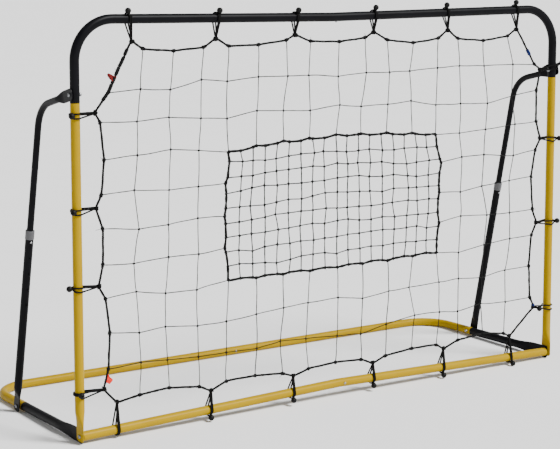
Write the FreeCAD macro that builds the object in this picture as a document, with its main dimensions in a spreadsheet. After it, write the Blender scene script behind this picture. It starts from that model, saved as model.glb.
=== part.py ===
import FreeCAD, Part
import math
import os

import Sketcher
from FreeCAD import Matrix, Placement, Rotation, Vector

# Ball rebounder: an upright net frame hinged at the front of a low base frame,
# held by two telescoping struts with five snap-button holes each.
# Frame: +X along the width, +Y towards the back, +Z up, millimetres.
# The origin is on the ground, in the middle of the footprint.

doc = FreeCAD.newDocument("rebounder")
X_AXIS, Y_AXIS, Z_AXIS = Vector(1, 0, 0), Vector(0, 1, 0), Vector(0, 0, 1)

# ---------------------------------------------------------------- sizes

SIZES = [
    ("post_spacing", 1812),     # centre to centre of the posts
    ("frame_height", 1200),     # pivot axis to the top rail's axis
    ("base_depth", 645),        # pivot axis to the rear rail's axis
    ("rear_drop", 7.9),         # the rear rail's axis lies this far below the pivot axis
    ("pivot_height", 21.9),     # pivot axis above the ground
    ("pivot_forward", 312.5),   # pivot axis in front of the origin
    ("tube_dia", 28),
    ("tube_wall", 1.5),
    ("flat_width", 43),         # a 28 mm tube pressed flat
    ("flat_thick", 3),
    ("tip_reach", 15),          # bolt centre to the end of a flattened tube
    ("tip_corner", 12),
    ("side_tip_reach", 9.5),
    ("side_tip_corner", 8),
    ("post_flat_end", 25),      # bolt centre to where each end starts to open out,
    ("post_round_start", 78),   # and to where it is fully round
    ("side_flat_end", 44),
    ("side_round_start", 150),
    ("foot_flat_end", 28),
    ("foot_round_start", 66),
    ("head_flat_end", 36),
    ("head_round_start", 80),
    ("frame_bend", 118),        # centre-line radius of the frame's and base's corners
    ("post_joint", 965),        # pivot axis to the seam between post and top rail
    ("side_joint", 391),        # pivot axis to the seam between side rail and rear rail
    ("top_sag", 11),            # the loaded net bows the top rail down
    ("bottom_rise", 22),        # and the bottom rail up
    ("top_seam", -22),          # X of each mid-span seam
    ("bottom_seam", 8),
    ("rear_seam", -13),
    ("spigot_length", 50),
    ("spigot_gap", 0.05),       # radial gap between a spigot and its socket
    ("neck_length", 6),
    ("side_rail_x", 901.6),
    ("pivot_bolt_dia", 6),
    ("bolt_gap", 0.05),         # radial gap between a bolt and its holes
    ("head_dia", 12),
    ("head_height", 4),
    ("socket_size", 2.6),       # hex recess, corner radius
    ("shim", 0.2),              # play between stacked pieces
    ("strut_x", 921.8),         # centre plane of the struts
    ("strut_foot", 408),        # pivot axis to the strut's foot bolt
    ("strut_head", 989),        # pivot axis to the strut's head bolt
    ("strut_lean", 12.43),      # the leg leans forward by this many degrees
    ("lower_dia", 25),
    ("lower_flat", 38),
    ("lower_length", 572),      # foot bolt to the lower tube's top end
    ("upper_dia", 20),
    ("upper_flat", 36),
    ("upper_start", 300),       # foot bolt to the upper tube's hidden end
    ("strut_vertex", 969.6),    # foot bolt to the corner of the upper tube's bend
    ("strut_bend", 100),
    ("first_hole", 548),        # foot bolt to the highest of the five holes
    ("hole_pitch", 50.8),
    ("hole_count", 5),
    ("collar_dia", 27.4),
    ("collar_length", 27),
    ("rail_pin_dia", 8),
    ("strut_pin_dia", 7),
    ("pin_proud", 3),           # a snap button stands this far out of its tube
    ("clip_strip", 0.8),
    ("net_thick", 2.5),
    ("rope_dia", 6),
    ("cell", 100),              # outer mesh
    ("net_middle", 600),        # height of the net's middle row above the pivot axis
    ("net_half_width", 826),
    ("top_border", 1110),
    ("bottom_border", 91),
    ("target_half_width", 408),
    ("target_half_height", 202),
    ("tie_cord", 4),
    ("tie_slack", 1),
    ("ball_dia", 18),
    ("ball_hole", 4.6),
]

sheet = doc.addObject("Spreadsheet::Sheet", "Sizes")
for row, (alias, value) in enumerate(SIZES, start=1):
    sheet.set(f"A{row}", alias)
    sheet.set(f"B{row}", str(value))
    sheet.setAlias(f"B{row}", alias)
doc.recompute()


def size(alias):
    """A driving dimension, read from the sheet."""
    return float(sheet.get(alias))


PIVOT_Y = -size("pivot_forward")
PIVOT_Z = size("pivot_height")
PIVOT = Vector(0, PIVOT_Y, PIVOT_Z)
POST_X = size("post_spacing") / 2
TUBE_R = size("tube_dia") / 2
BORE_R = TUBE_R - size("tube_wall")
SPIGOT_R = BORE_R - size("spigot_gap")
SPIGOT_BORE_R = SPIGOT_R - size("tube_wall")
HOLE_R = size("pivot_bolt_dia") / 2 + size("bolt_gap")
BASE_PITCH = math.degrees(math.asin(size("rear_drop") / size("base_depth")))

# The base's tubes lie in one plane, which drops slightly from the pivot to the rear rail.
BASE_PLACE = Placement(PIVOT, Rotation(X_AXIS, -BASE_PITCH))
FRAME_PLACE = Placement(PIVOT, Rotation())

# The side rails' pressed ends are slightly flattened underneath, where they rest.
GROUND = Part.makeBox(2200, 1200, 20, Vector(-1100, -600, -20))
GROUND.Placement = BASE_PLACE.inverse()

nodes = {}  # node name -> document object


# ---------------------------------------------------------------- helpers

def feature(label, shape, place):
    """A piece whose shape comes from Part's own functions."""
    piece = doc.addObject("Part::Feature", label)
    piece.Label = label
    piece.Shape = shape
    piece.Placement = place.multiply(shape.Placement)
    nodes[label] = piece
    return piece


def mirrored(label, source):
    """The opposite-hand copy of a piece, across the middle plane."""
    piece = doc.addObject("Part::Mirroring", label)
    piece.Label = label
    piece.Source = source
    piece.Normal = X_AXIS
    piece.Base = Vector(0, 0, 0)
    nodes[label] = piece
    return piece


def both_sides(label, source):
    """Identical pieces, one on each side, kept as separate solids of one node."""
    other = doc.addObject("Part::Mirroring", label + "_other")
    other.Source = source
    other.Normal = X_AXIS
    group = doc.addObject("Part::Compound", label)
    group.Label = label
    group.Links = [source, other]
    nodes[label] = group
    return group


def rod(radius, start, end):
    """A solid cylinder between two points."""
    return Part.makeCylinder(radius, (end - start).Length, start, end - start)


def bent_path(points, bend):
    """Straight runs through the points, joined by tangent arcs."""
    edges = []
    here = points[0]
    for before, corner, after in zip(points, points[1:], points[2:]):
        inward = (before - corner).normalize()
        outward = (after - corner).normalize()
        half_turn = (math.pi - inward.getAngle(outward)) / 2
        tangent = bend * math.tan(half_turn)
        to_middle = bend / math.cos(half_turn) - bend
        first = corner + inward * tangent
        last = corner + outward * tangent
        middle = corner + (inward + outward).normalize() * to_middle
        edges.append(Part.LineSegment(here, first).toShape())
        edges.append(Part.Arc(first, middle, last).toShape())
        here = last
    edges.append(Part.LineSegment(here, points[-1]).toShape())
    return Part.Wire(edges)


def swept(points, bend, radius):
    """A solid round bar along a bent path."""
    circle = Part.Circle(points[0], points[1] - points[0], radius)
    ring = Part.Wire([circle.toShape()])
    return bent_path(points, bend).makePipeShell([ring], True, False)


def flat_section(share, radius, width, thick, z):
    """A tube's outline on its way from round (share 0) to flat (share 1)."""
    corner_angle = math.radians(50)

    def between(start, end):
        return start + (end - start) * share

    across = between(radius * math.cos(corner_angle), thick / 2)
    along = between(radius * math.sin(corner_angle), width / 2 - thick / 2)
    face = between(radius, thick / 2)
    edge = between(radius, width / 2)
    corners = [Vector(x, y, z) for x, y in
               ((across, -along), (across, along), (-across, along), (-across, -along))]
    sides = [
        (corners[0], Vector(face, 0, z), corners[1]),
        (corners[1], Vector(0, edge, z), corners[2]),
        (corners[2], Vector(-face, 0, z), corners[3]),
        (corners[3], Vector(0, -edge, z), corners[0]),
    ]
    edges = []
    for start, middle, end in sides:
        straight = (middle - start).cross(end - start).Length < 1e-6
        curve = Part.LineSegment(start, end) if straight else Part.Arc(start, middle, end)
        edges.append(curve.toShape())
    return Part.Wire(edges)


def pressed_loft(radius, width, thick, near, far):
    """The stretch that changes from flat at z = near to round at z = far."""
    steps = 5
    sections = []
    for i in range(steps + 1):
        part = i / steps
        share = 1 - part * part * (3 - 2 * part)
        sections.append(flat_section(share, radius, width, thick, near + (far - near) * part))
    return Part.makeLoft(sections, True, False)


def tip_outline(width, reach, corner, far):
    """A broad prism across X that trims a flat end to rounded corners."""
    half = width / 2
    diagonal = corner * (1 - math.sqrt(0.5))
    low = -reach
    points = [Vector(-50, -half, far), Vector(-50, -half, low + corner),
              Vector(-50, -half + diagonal, low + diagonal), Vector(-50, -half + corner, low)]
    twins = [Vector(p.x, -p.y, p.z) for p in reversed(points)]
    edges = [
        Part.LineSegment(points[0], points[1]).toShape(),
        Part.Arc(points[1], points[2], points[3]).toShape(),
        Part.LineSegment(points[3], twins[0]).toShape(),
        Part.Arc(twins[0], twins[1], twins[2]).toShape(),
        Part.LineSegment(twins[2], twins[3]).toShape(),
        Part.LineSegment(twins[3], points[0]).toShape(),
    ]
    return Part.Face(Part.Wire(edges)).extrude(Vector(100, 0, 0))


def flat_ended_tube(radius, width, flat_end, round_start, length, reach, corner):
    """A tube along +Z whose lower end is pressed flat across X.

    The bolt hole is at the origin. The end is flat up to flat_end, round from
    round_start, and the open end is at length. Returns (outside, bore) as solids.
    """
    thick = size("flat_thick")
    wall = size("tube_wall")
    plate = Part.Face(flat_section(1, radius, width, thick, flat_end))
    plate = plate.extrude(Vector(0, 0, -flat_end - reach - 1))
    plate = plate.common(tip_outline(width, reach, corner, flat_end))
    body = pressed_loft(radius, width, thick, flat_end, round_start)
    barrel = rod(radius, Vector(0, 0, round_start), Vector(0, 0, length))
    outside = body.fuse([plate, barrel])
    hollow = pressed_loft(radius - wall, width - 2 * wall, 0.4, flat_end, round_start)
    bore = hollow.fuse(rod(radius - wall, Vector(0, 0, round_start), Vector(0, 0, length + 1)))
    hole = rod(HOLE_R, Vector(-radius, 0, 0), Vector(radius, 0, 0))
    return outside.cut(hole), bore


def beyond(point, normal):
    """A block that fills the far side of a plane, for trimming a tube's end."""
    block = Part.makeBox(80, 80, 40, Vector(-40, -40, 0))
    block.Placement = Placement(point, Rotation(Z_AXIS, normal))
    return block


def mitred(radius, start, corner, end):
    """A solid round bar with a slight kink, whose two straight runs meet in one plane."""
    onward = (end - corner).normalize()
    inward = (start - corner).normalize()
    way = (onward - inward).normalize()
    first = rod(radius, start, corner - inward * 5).cut(beyond(corner, way))
    last = rod(radius, corner - onward * 5, end).cut(beyond(corner, -way))
    return first.fuse(last)


def spigot(end, inward, onward):
    """The swaged end of a tube: a neck of full size, then a reduced length.

    end is the seam; inward points back into the tube and onward into the socket.
    Returns (outside, bore) as solids.
    """
    neck = size("neck_length")
    tip = end + onward * size("spigot_length")
    sleeve = rod(TUBE_R, end + inward * neck, end - inward * 2)
    sleeve = sleeve.cut(beyond(end, (onward - inward).normalize()))
    outside = sleeve.fuse(mitred(SPIGOT_R, end + inward * (neck - 2), end, tip))
    return outside, mitred(SPIGOT_BORE_R, end + inward * (neck + 1), end, tip + onward)


def polygon_sketch(body, name, plane_role, points, offset=None):
    """A closed sketch outline. Each point is a pair of expressions on the sheet."""
    sketch = body.newObject("Sketcher::SketchObject", name)
    plane = next(f for f in body.Origin.OriginFeatures if f.Role == plane_role)
    sketch.AttachmentSupport = [(plane, "")]
    sketch.MapMode = "FlatFace"
    if offset:
        sketch.AttachmentOffset = offset
    values = [tuple(float(sheet.evalExpression(e)) for e in point) for point in points]
    count = len(points)
    for i in range(count):
        start, end = values[i], values[(i + 1) % count]
        sketch.addGeometry(Part.LineSegment(Vector(*start, 0), Vector(*end, 0)), False)
    for i in range(count):
        sketch.addConstraint(Sketcher.Constraint("Coincident", i, 2, (i + 1) % count, 1))
    for i, (point, value) in enumerate(zip(points, values)):
        for kind, axis, expression, number in (
            ("DistanceX", -2, point[0], value[0]),
            ("DistanceY", -1, point[1], value[1]),
        ):
            if abs(number) < 1e-9:
                sketch.addConstraint(Sketcher.Constraint("PointOnObject", i, 1, axis))
                continue
            index = sketch.addConstraint(Sketcher.Constraint(kind, -1, 1, i, 1, number))
            sketch.setExpression(f"Constraints[{index}]", expression)
    return sketch


def turned(name, points):
    """A PartDesign body turned about Z. Points are (radius, height) expressions."""
    body = doc.addObject("PartDesign::Body", name)
    body.Label = name
    sketch = polygon_sketch(body, name + "_profile", "XZ_Plane", points)
    turn = body.newObject("PartDesign::Revolution", name + "_turn")
    turn.Profile = sketch
    turn.ReferenceAxis = (sketch, ["V_Axis"])
    turn.Angle = 360
    doc.recompute()
    return body, turn


def round_over(body, base, height, radius_expression, smallest=False):
    """Rounds the body's circular edge at a height, the outer or the inner one."""
    rims = [(e.Curve.Radius, i) for i, e in enumerate(base.Shape.Edges, start=1)
            if isinstance(e.Curve, Part.Circle) and abs(e.Curve.Center.z - height) < 1e-6]
    index = (min(rims) if smallest else max(rims))[1]
    fillet = body.newObject("PartDesign::Fillet", base.Name + "_round")
    fillet.Base = (base, [f"Edge{index}"])
    fillet.setExpression("Radius", radius_expression)
    doc.recompute()
    return fillet


def hex_recess(body, name, height_expression, depth):
    """A hexagonal driver recess in a screw head whose top is at the given height."""
    recess = body.newObject("PartDesign::SubtractivePrism", name)
    plane = next(f for f in body.Origin.OriginFeatures if f.Role == "XY_Plane")
    recess.AttachmentSupport = [(plane, "")]
    recess.MapMode = "FlatFace"
    recess.Polygon = 6
    recess.setExpression("Circumradius", "Sizes.socket_size")
    recess.Height = depth
    recess.setExpression("AttachmentOffset.Base.z", f"{height_expression} - {depth} + 0.01")
    doc.recompute()
    return recess


def screw(name, shank_length):
    """A dome-head screw: the head stands on z = 0 and the shank goes down."""
    body, turn = turned(name, [
        ("0", "-" + shank_length),
        ("Sizes.pivot_bolt_dia / 2", "-" + shank_length),
        ("Sizes.pivot_bolt_dia / 2", "0"),
        ("Sizes.head_dia / 2", "0"),
        ("Sizes.head_dia / 2", "Sizes.head_height"),
        ("0", "Sizes.head_height"),
    ])
    round_over(body, turn, size("head_height"), "Sizes.head_height * 0.8")
    hex_recess(body, name + "_socket", "Sizes.head_height", 2)
    return body


def washer(name, inner, outer, thick):
    """A flat ring standing on z = 0, from the sheet's expressions."""
    body, _ = turned(name, [(inner, "0"), (outer, "0"), (outer, thick), (inner, thick)])
    return body


def facing(direction, at):
    """Puts a piece made along +Z so that +Z points in a direction."""
    return Placement(at, Rotation(Z_AXIS, direction))


# ---------------------------------------------------------------- upright frame

def post():
    outside, bore = flat_ended_tube(
        TUBE_R, size("flat_width"), size("post_flat_end"), size("post_round_start"),
        size("post_joint"), size("tip_reach"), size("tip_corner"))
    seam = Vector(0, 0, size("post_joint"))
    spigot_outside, spigot_bore = spigot(seam, -Z_AXIS, Z_AXIS)
    main_bore = bore.common(Part.makeBox(100, 100, size("post_joint") - size("neck_length") + 100,
                                         Vector(-50, -50, -100)))
    stud_hole = rod(HOLE_R, Vector(-TUBE_R, 0, size("strut_head")),
                    Vector(TUBE_R, 0, size("strut_head")))
    tube = outside.fuse(spigot_outside).cut([main_bore, spigot_bore, stud_hole])
    tube.translate(Vector(-POST_X, 0, 0))
    return tube


post_left = feature("post_left", post(), FRAME_PLACE)
mirrored("post_right", post_left)


def top_point(x):
    """The top rail's axis: a shallow V with its point at the seam."""
    seam = size("top_seam")
    corner_x = -POST_X if x < seam else POST_X
    drop = size("top_sag") * (corner_x - x) / (corner_x - seam)
    return Vector(x, 0, size("frame_height") - drop)


def seamed_tube(start, corner, seam_point, far_corner, bend, clip_at, clip_axis):
    """A bent tube from start round a corner to the seam, with a swaged end."""
    back = (corner - seam_point).normalize()
    onward = (far_corner - seam_point).normalize()
    neck = seam_point + back * size("neck_length")
    spigot_outside, spigot_bore = spigot(seam_point, back, onward)
    pin = rod(size("rail_pin_dia") / 2 + size("bolt_gap"), clip_at, clip_at + clip_axis * 20)
    outside = swept([start, corner, neck], bend, TUBE_R)
    bore = swept([start, corner, neck], bend, BORE_R)
    return outside.fuse(spigot_outside).cut([bore, spigot_bore, pin])


def socket_tube(seam_point, other_corner, corner, end, bend, clip_at, clip_axis):
    """The matching bent tube, plain at the seam, with a hole for the snap button."""
    way = (corner - seam_point).normalize()
    kink = (way - (other_corner - seam_point).normalize()).normalize()
    pin = rod(size("rail_pin_dia") / 2 + size("bolt_gap"), clip_at, clip_at + clip_axis * 20)
    outside = swept([seam_point - way * 2, corner, end], bend, TUBE_R)
    bore = swept([seam_point - way * 3, corner, end], bend, BORE_R)
    return outside.cut([bore, pin, beyond(seam_point, -kink)])


def stud_holes(side):
    """The strut stud's holes through a leg of the top rail."""
    height = size("strut_head")
    return rod(HOLE_R, Vector(side * POST_X - 20, 0, height), Vector(side * POST_X + 20, 0, height))


TOP_CLIP_X = size("top_seam") + 16
TOP_CORNERS = [Vector(side * POST_X, 0, size("frame_height")) for side in (-1, 1)]
TOP_LEGS = [Vector(side * POST_X, 0, size("post_joint")) for side in (-1, 1)]
TOP_SEAM = top_point(size("top_seam"))
TOP_CLIP = top_point(TOP_CLIP_X)

feature("top_rail_left", seamed_tube(
    TOP_LEGS[0], TOP_CORNERS[0], TOP_SEAM, TOP_CORNERS[1], size("frame_bend"),
    TOP_CLIP, -Z_AXIS).cut(stud_holes(-1)), FRAME_PLACE)
feature("top_rail_right", socket_tube(
    TOP_SEAM, TOP_CORNERS[0], TOP_CORNERS[1], TOP_LEGS[1], size("frame_bend"),
    TOP_CLIP, -Z_AXIS).cut(stud_holes(1)), FRAME_PLACE)


# ---------------------------------------------------------------- base frame

def side_rail():
    outside, bore = flat_ended_tube(
        TUBE_R, size("flat_width"), size("side_flat_end"), size("side_round_start"),
        size("side_joint"), size("side_tip_reach"), size("side_tip_corner"))
    seam = Vector(0, 0, size("side_joint"))
    spigot_outside, spigot_bore = spigot(seam, -Z_AXIS, Z_AXIS)
    main_bore = bore.common(Part.makeBox(100, 100, size("side_joint") - size("neck_length") + 100,
                                         Vector(-50, -50, -100)))
    foot_hole = rod(HOLE_R, Vector(-TUBE_R, 0, size("strut_foot")),
                    Vector(TUBE_R, 0, size("strut_foot")))
    tube = outside.fuse(spigot_outside).cut([main_bore, spigot_bore, foot_hole])
    tube.rotate(Vector(0, 0, 0), X_AXIS, -90)
    tube.translate(Vector(-size("side_rail_x"), 0, 0))
    return tube.cut(GROUND)


side_rail_left = feature("side_rail_left", side_rail(), BASE_PLACE)
mirrored("side_rail_right", side_rail_left)


def foot_holes(side):
    """The strut foot bolt's holes through a side of the rear rail."""
    x = side * size("side_rail_x")
    return rod(HOLE_R, Vector(x - 20, size("strut_foot"), 0), Vector(x + 20, size("strut_foot"), 0))


REAR_CORNERS = [Vector(side * size("side_rail_x"), size("base_depth"), 0) for side in (-1, 1)]
REAR_ENDS = [Vector(side * size("side_rail_x"), size("side_joint"), 0) for side in (-1, 1)]
REAR_SEAM = Vector(size("rear_seam"), size("base_depth"), 0)
REAR_CLIP = REAR_SEAM + X_AXIS * 30

feature("rear_rail_left", seamed_tube(
    REAR_ENDS[0], REAR_CORNERS[0], REAR_SEAM, REAR_CORNERS[1], size("frame_bend"),
    REAR_CLIP, -Y_AXIS).cut(foot_holes(-1)), BASE_PLACE)
feature("rear_rail_right", socket_tube(
    REAR_SEAM, REAR_CORNERS[0], REAR_CORNERS[1], REAR_ENDS[1], size("frame_bend"),
    REAR_CLIP, -Y_AXIS).cut(foot_holes(1)), BASE_PLACE)

# The bottom rail's two straight halves meet at the seam, which the net pulls up.
PLATE_T = size("flat_thick")
RAIL_END_X = size("side_rail_x") - PLATE_T / 2 - size("shim")
BOTTOM_ENDS = [Vector(side * RAIL_END_X, 0, 0) for side in (-1, 1)]
BOTTOM_SEAM = Vector(size("bottom_seam"), 0, size("bottom_rise"))
BOTTOM_CLIP = BOTTOM_SEAM + (BOTTOM_ENDS[1] - BOTTOM_SEAM).normalize() * 17


def bottom_rail_left():
    end, seam = BOTTOM_ENDS[0], BOTTOM_SEAM
    back = (end - seam).normalize()
    onward = (BOTTOM_ENDS[1] - seam).normalize()
    neck = seam + back * size("neck_length")
    spigot_outside, spigot_bore = spigot(seam, back, onward)
    pin = rod(size("rail_pin_dia") / 2 + size("bolt_gap"), BOTTOM_CLIP, BOTTOM_CLIP - Y_AXIS * 20)
    trim = Part.makeBox(100, 100, 100, Vector(end.x - 100, -50, -50))
    outside = rod(TUBE_R, end + back * 2, neck).fuse(spigot_outside)
    return outside.cut([rod(BORE_R, end + back * 3, neck), spigot_bore, pin, trim])


def bottom_rail_right():
    end, seam = BOTTOM_ENDS[1], BOTTOM_SEAM
    back = (end - seam).normalize()
    kink = (back - (BOTTOM_ENDS[0] - seam).normalize()).normalize()
    pin = rod(size("rail_pin_dia") / 2 + size("bolt_gap"), BOTTOM_CLIP, BOTTOM_CLIP - Y_AXIS * 20)
    trim = Part.makeBox(100, 100, 100, Vector(end.x, -50, -50))
    outside = rod(TUBE_R, seam - back * 2, end + back * 2)
    bore = rod(BORE_R, seam - back * 3, end + back * 3)
    return outside.cut([bore, pin, trim, beyond(seam, -kink)])


feature("bottom_rail_left", bottom_rail_left(), FRAME_PLACE)
feature("bottom_rail_right", bottom_rail_right(), FRAME_PLACE)

# ---------------------------------------------------------------- corner pivots

# Outside to inside: bolt head, post, thin washer, side rail, bottom rail with its insert.
POST_FACE_X = POST_X + PLATE_T / 2
corner_bolt = screw("corner_bolt", "32")
corner_bolt.Placement = facing(-X_AXIS, PIVOT - X_AXIS * (POST_FACE_X + size("shim")))
both_sides("corner_bolts", corner_bolt)

pivot_washer = washer("pivot_washer", "Sizes.pivot_bolt_dia / 2 + Sizes.bolt_gap", "9", "1")
pivot_washer.Placement = facing(-X_AXIS, PIVOT - X_AXIS * (POST_X - PLATE_T / 2 - size("shim") - 1))
both_sides("pivot_washers", pivot_washer)

rail_insert, _ = turned("rail_insert", [
    ("Sizes.pivot_bolt_dia / 2 + Sizes.bolt_gap", "0"),
    ("Sizes.tube_dia / 2 - Sizes.tube_wall - 0.8", "0"),
    ("Sizes.tube_dia / 2 - Sizes.tube_wall - 0.8", "28"),
    ("Sizes.pivot_bolt_dia / 2 + Sizes.bolt_gap", "28"),
])
rail_insert.Placement = facing(X_AXIS, PIVOT - X_AXIS * (RAIL_END_X - 0.5))
both_sides("rail_inserts", rail_insert)

# ---------------------------------------------------------------- struts

# A strut's own frame: origin at the foot bolt, +Z up the leg, -Y to the front.
FOOT = BASE_PLACE.multVec(Vector(-size("strut_x"), size("strut_foot"), 0))
HEAD = Vector(-size("strut_x"), PIVOT_Y, PIVOT_Z + size("strut_head"))
STRUT_PLACE = Placement(FOOT, Rotation(X_AXIS, size("strut_lean")))
LOWER_R = size("lower_dia") / 2
UPPER_R = size("upper_dia") / 2
PIN_R = size("strut_pin_dia") / 2 + size("bolt_gap")


def strut_lower():
    outside, bore = flat_ended_tube(
        LOWER_R, size("lower_flat"), size("foot_flat_end"), size("foot_round_start"),
        size("lower_length"), size("tip_reach"), size("tip_corner"))
    holes = []
    for i in range(int(size("hole_count"))):
        height = size("first_hole") - i * size("hole_pitch")
        holes.append(rod(PIN_R, Vector(0, 0, height), Vector(0, -LOWER_R - 1, height)))
    return outside.cut([bore, *holes])


def strut_upper():
    start = Vector(0, 0, size("upper_start"))
    vertex = Vector(0, 0, size("strut_vertex"))
    head = STRUT_PLACE.inverse().multVec(HEAD)
    to_vertex = vertex - head
    turn = math.pi - (start - vertex).getAngle(head - vertex)
    head_run = to_vertex.Length - size("strut_bend") * math.tan(turn / 2)
    outside, bore = flat_ended_tube(
        UPPER_R, size("upper_flat"), size("head_flat_end"), size("head_round_start"),
        head_run - 5, size("tip_reach"), size("tip_corner"))
    bore = bore.common(Part.makeBox(100, 100, head_run + 95, Vector(-50, -50, -100)))
    tilt = math.degrees(math.atan2(-to_vertex.y, to_vertex.z))
    for shape in (outside, bore):
        shape.rotate(Vector(0, 0, 0), X_AXIS, tilt)
        shape.translate(head)
    run_end = head + to_vertex.normalize() * (head_run - 6)
    leg = swept([start, vertex, run_end], size("strut_bend"), UPPER_R)
    leg_bore = swept([start, vertex, run_end], size("strut_bend"), UPPER_R - size("tube_wall"))
    pin = rod(PIN_R, Vector(0, 0, size("first_hole")), Vector(0, -UPPER_R - 1, size("first_hole")))
    return outside.fuse(leg).cut([bore, leg_bore, pin])


strut_lower_left = feature("strut_lower_left", strut_lower(), STRUT_PLACE)
mirrored("strut_lower_right", strut_lower_left)
strut_upper_left = feature("strut_upper_left", strut_upper(), STRUT_PLACE)
mirrored("strut_upper_right", strut_upper_left)

# The plastic collar caps the lower tube and guides the upper one.
strut_collar_left, collar_turn = turned("strut_collar_left", [
    ("Sizes.upper_dia / 2 + Sizes.bolt_gap", "0.2"),
    ("Sizes.upper_dia / 2 + Sizes.bolt_gap", "Sizes.collar_length - 16"),
    ("Sizes.collar_dia / 2", "Sizes.collar_length - 16"),
    ("Sizes.collar_dia / 2", "-16"),
    ("Sizes.lower_dia / 2 + 0.1", "-16"),
    ("Sizes.lower_dia / 2 + 0.1", "0.2"),
])
round_over(strut_collar_left, collar_turn, size("collar_length") - 16, "2")
strut_collar_left.Placement = STRUT_PLACE.multiply(
    Placement(Vector(0, 0, size("lower_length")), Rotation()))
nodes["strut_collar_left"] = strut_collar_left
mirrored("strut_collar_right", strut_collar_left)

# Foot: bolt head, strut, spacer, rear rail with the side rail's spigot inside, cap nut.
STRUT_OUT = size("strut_x") + PLATE_T / 2
STRUT_IN = size("strut_x") - PLATE_T / 2
foot_bolt = screw("foot_bolt", "41")
foot_bolt.Placement = facing(-X_AXIS, Vector(-STRUT_OUT - size("shim"), FOOT.y, FOOT.z))
both_sides("strut_foot_bolts", foot_bolt)

SPACER = STRUT_IN - (size("side_rail_x") + TUBE_R) - 2 * size("shim")
foot_spacer, _ = turned("foot_spacer", [
    ("Sizes.pivot_bolt_dia / 2 + Sizes.bolt_gap", "0"),
    ("8", "0"),
    ("9", str(SPACER)),
    ("Sizes.pivot_bolt_dia / 2 + Sizes.bolt_gap", str(SPACER)),
])
foot_spacer.Placement = facing(
    -X_AXIS, Vector(-size("side_rail_x") - TUBE_R - size("shim"), FOOT.y, FOOT.z))
both_sides("strut_foot_spacers", foot_spacer)

cap_nut, nut_turn = turned("cap_nut", [
    ("Sizes.pivot_bolt_dia / 2 + Sizes.bolt_gap", "0"),
    ("5.5", "0"),
    ("5.5", "6"),
    ("0", "6"),
    ("0", "5"),
    ("Sizes.pivot_bolt_dia / 2 + Sizes.bolt_gap", "5"),
])
round_over(cap_nut, nut_turn, 6, "3")
cap_nut.Placement = facing(
    X_AXIS, Vector(-size("side_rail_x") + TUBE_R + size("shim"), FOOT.y, FOOT.z))
both_sides("strut_foot_nuts", cap_nut)

# Head: the screw and the stud share the axis, but part at the post's face, where the
# strut's linkage is open. The screw moves with the strut and the stud with the post.
SHEAR_X = POST_X + TUBE_R + 0.15
head_screw = screw("head_screw", str(STRUT_OUT - SHEAR_X - 0.05 + size("shim")))
head_screw.Label = "strut_head_screw_left"
head_screw.Placement = facing(-X_AXIS, HEAD - X_AXIS * (PLATE_T / 2 + size("shim")))
nodes["strut_head_screw_left"] = head_screw
mirrored("strut_head_screw_right", head_screw)

head_stud, _ = turned("head_stud", [
    ("0", "0"),
    ("Sizes.pivot_bolt_dia / 2", "0"),
    ("Sizes.pivot_bolt_dia / 2", "Sizes.tube_dia + 4"),
    ("0", "Sizes.tube_dia + 4"),
])
head_stud.Placement = facing(X_AXIS, Vector(-POST_X - TUBE_R, HEAD.y, HEAD.z))
both_sides("strut_head_studs", head_stud)
head_nut, head_nut_turn = turned("head_nut", [
    ("Sizes.pivot_bolt_dia / 2 + Sizes.bolt_gap", "0"),
    ("5.5", "0"),
    ("5.5", "6"),
    ("0", "6"),
    ("0", "5"),
    ("Sizes.pivot_bolt_dia / 2 + Sizes.bolt_gap", "5"),
])
round_over(head_nut, head_nut_turn, 6, "3")
head_nut.Placement = facing(X_AXIS, Vector(-POST_X + TUBE_R + size("shim"), HEAD.y, HEAD.z))
both_sides("strut_head_nuts", head_nut)


# ---------------------------------------------------------------- snap buttons

def snap_clip(name, bore_radius, pin_dia, tube_radius):
    """A spring-steel V with a button: the button points to +Z and the V runs to +X."""
    body = doc.addObject("PartDesign::Body", name)
    body.Label = name
    arm = f"{bore_radius} - 0.9"
    strip = "Sizes.clip_strip"
    leaf = polygon_sketch(body, name + "_leaf", "XZ_Plane", [
        ("-5", arm), ("40", arm), ("46", f"{arm} - 4"), ("6", f"{arm} - 10.5"),
        ("6", f"{arm} - 10.5 + {strip}"), ("44.2", f"{arm} - 4 + 0.25"),
        ("39.6", f"{arm} - {strip}"), ("-5", f"{arm} - {strip}"),
    ])
    pad = body.newObject("PartDesign::Pad", name + "_strip")
    pad.Profile = leaf
    pad.Length = 7
    pad.Midplane = True
    doc.recompute()
    tip = f"{tube_radius} + Sizes.pin_proud"
    button = polygon_sketch(body, name + "_button", "XZ_Plane", [
        ("0", f"{arm} - 0.4"), (f"{pin_dia} / 2", f"{arm} - 0.4"),
        (f"{pin_dia} / 2", tip), ("0", tip),
    ])
    turn = body.newObject("PartDesign::Revolution", name + "_pin")
    turn.Profile = button
    turn.ReferenceAxis = (button, ["V_Axis"])
    turn.Angle = 360
    doc.recompute()
    round_over(body, turn, float(sheet.evalExpression(tip)), "Sizes.pin_proud * 0.8")
    return body


def clip_place(at, outward, along):
    """Puts a clip with its button along outward and its leaf along the tube."""
    side = outward.cross(along)
    matrix = Matrix(along.x, side.x, outward.x, at.x,
                    along.y, side.y, outward.y, at.y,
                    along.z, side.z, outward.z, at.z,
                    0, 0, 0, 1)
    return Placement(matrix)


RAIL_BORE = "(Sizes.tube_dia / 2 - 2 * Sizes.tube_wall - Sizes.spigot_gap)"
STRUT_BORE = "(Sizes.upper_dia / 2 - Sizes.tube_wall)"
TOP_WAY = (TOP_CORNERS[0] - TOP_SEAM).normalize()
BOTTOM_WAY = (BOTTOM_ENDS[0] - BOTTOM_SEAM).normalize()

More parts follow.
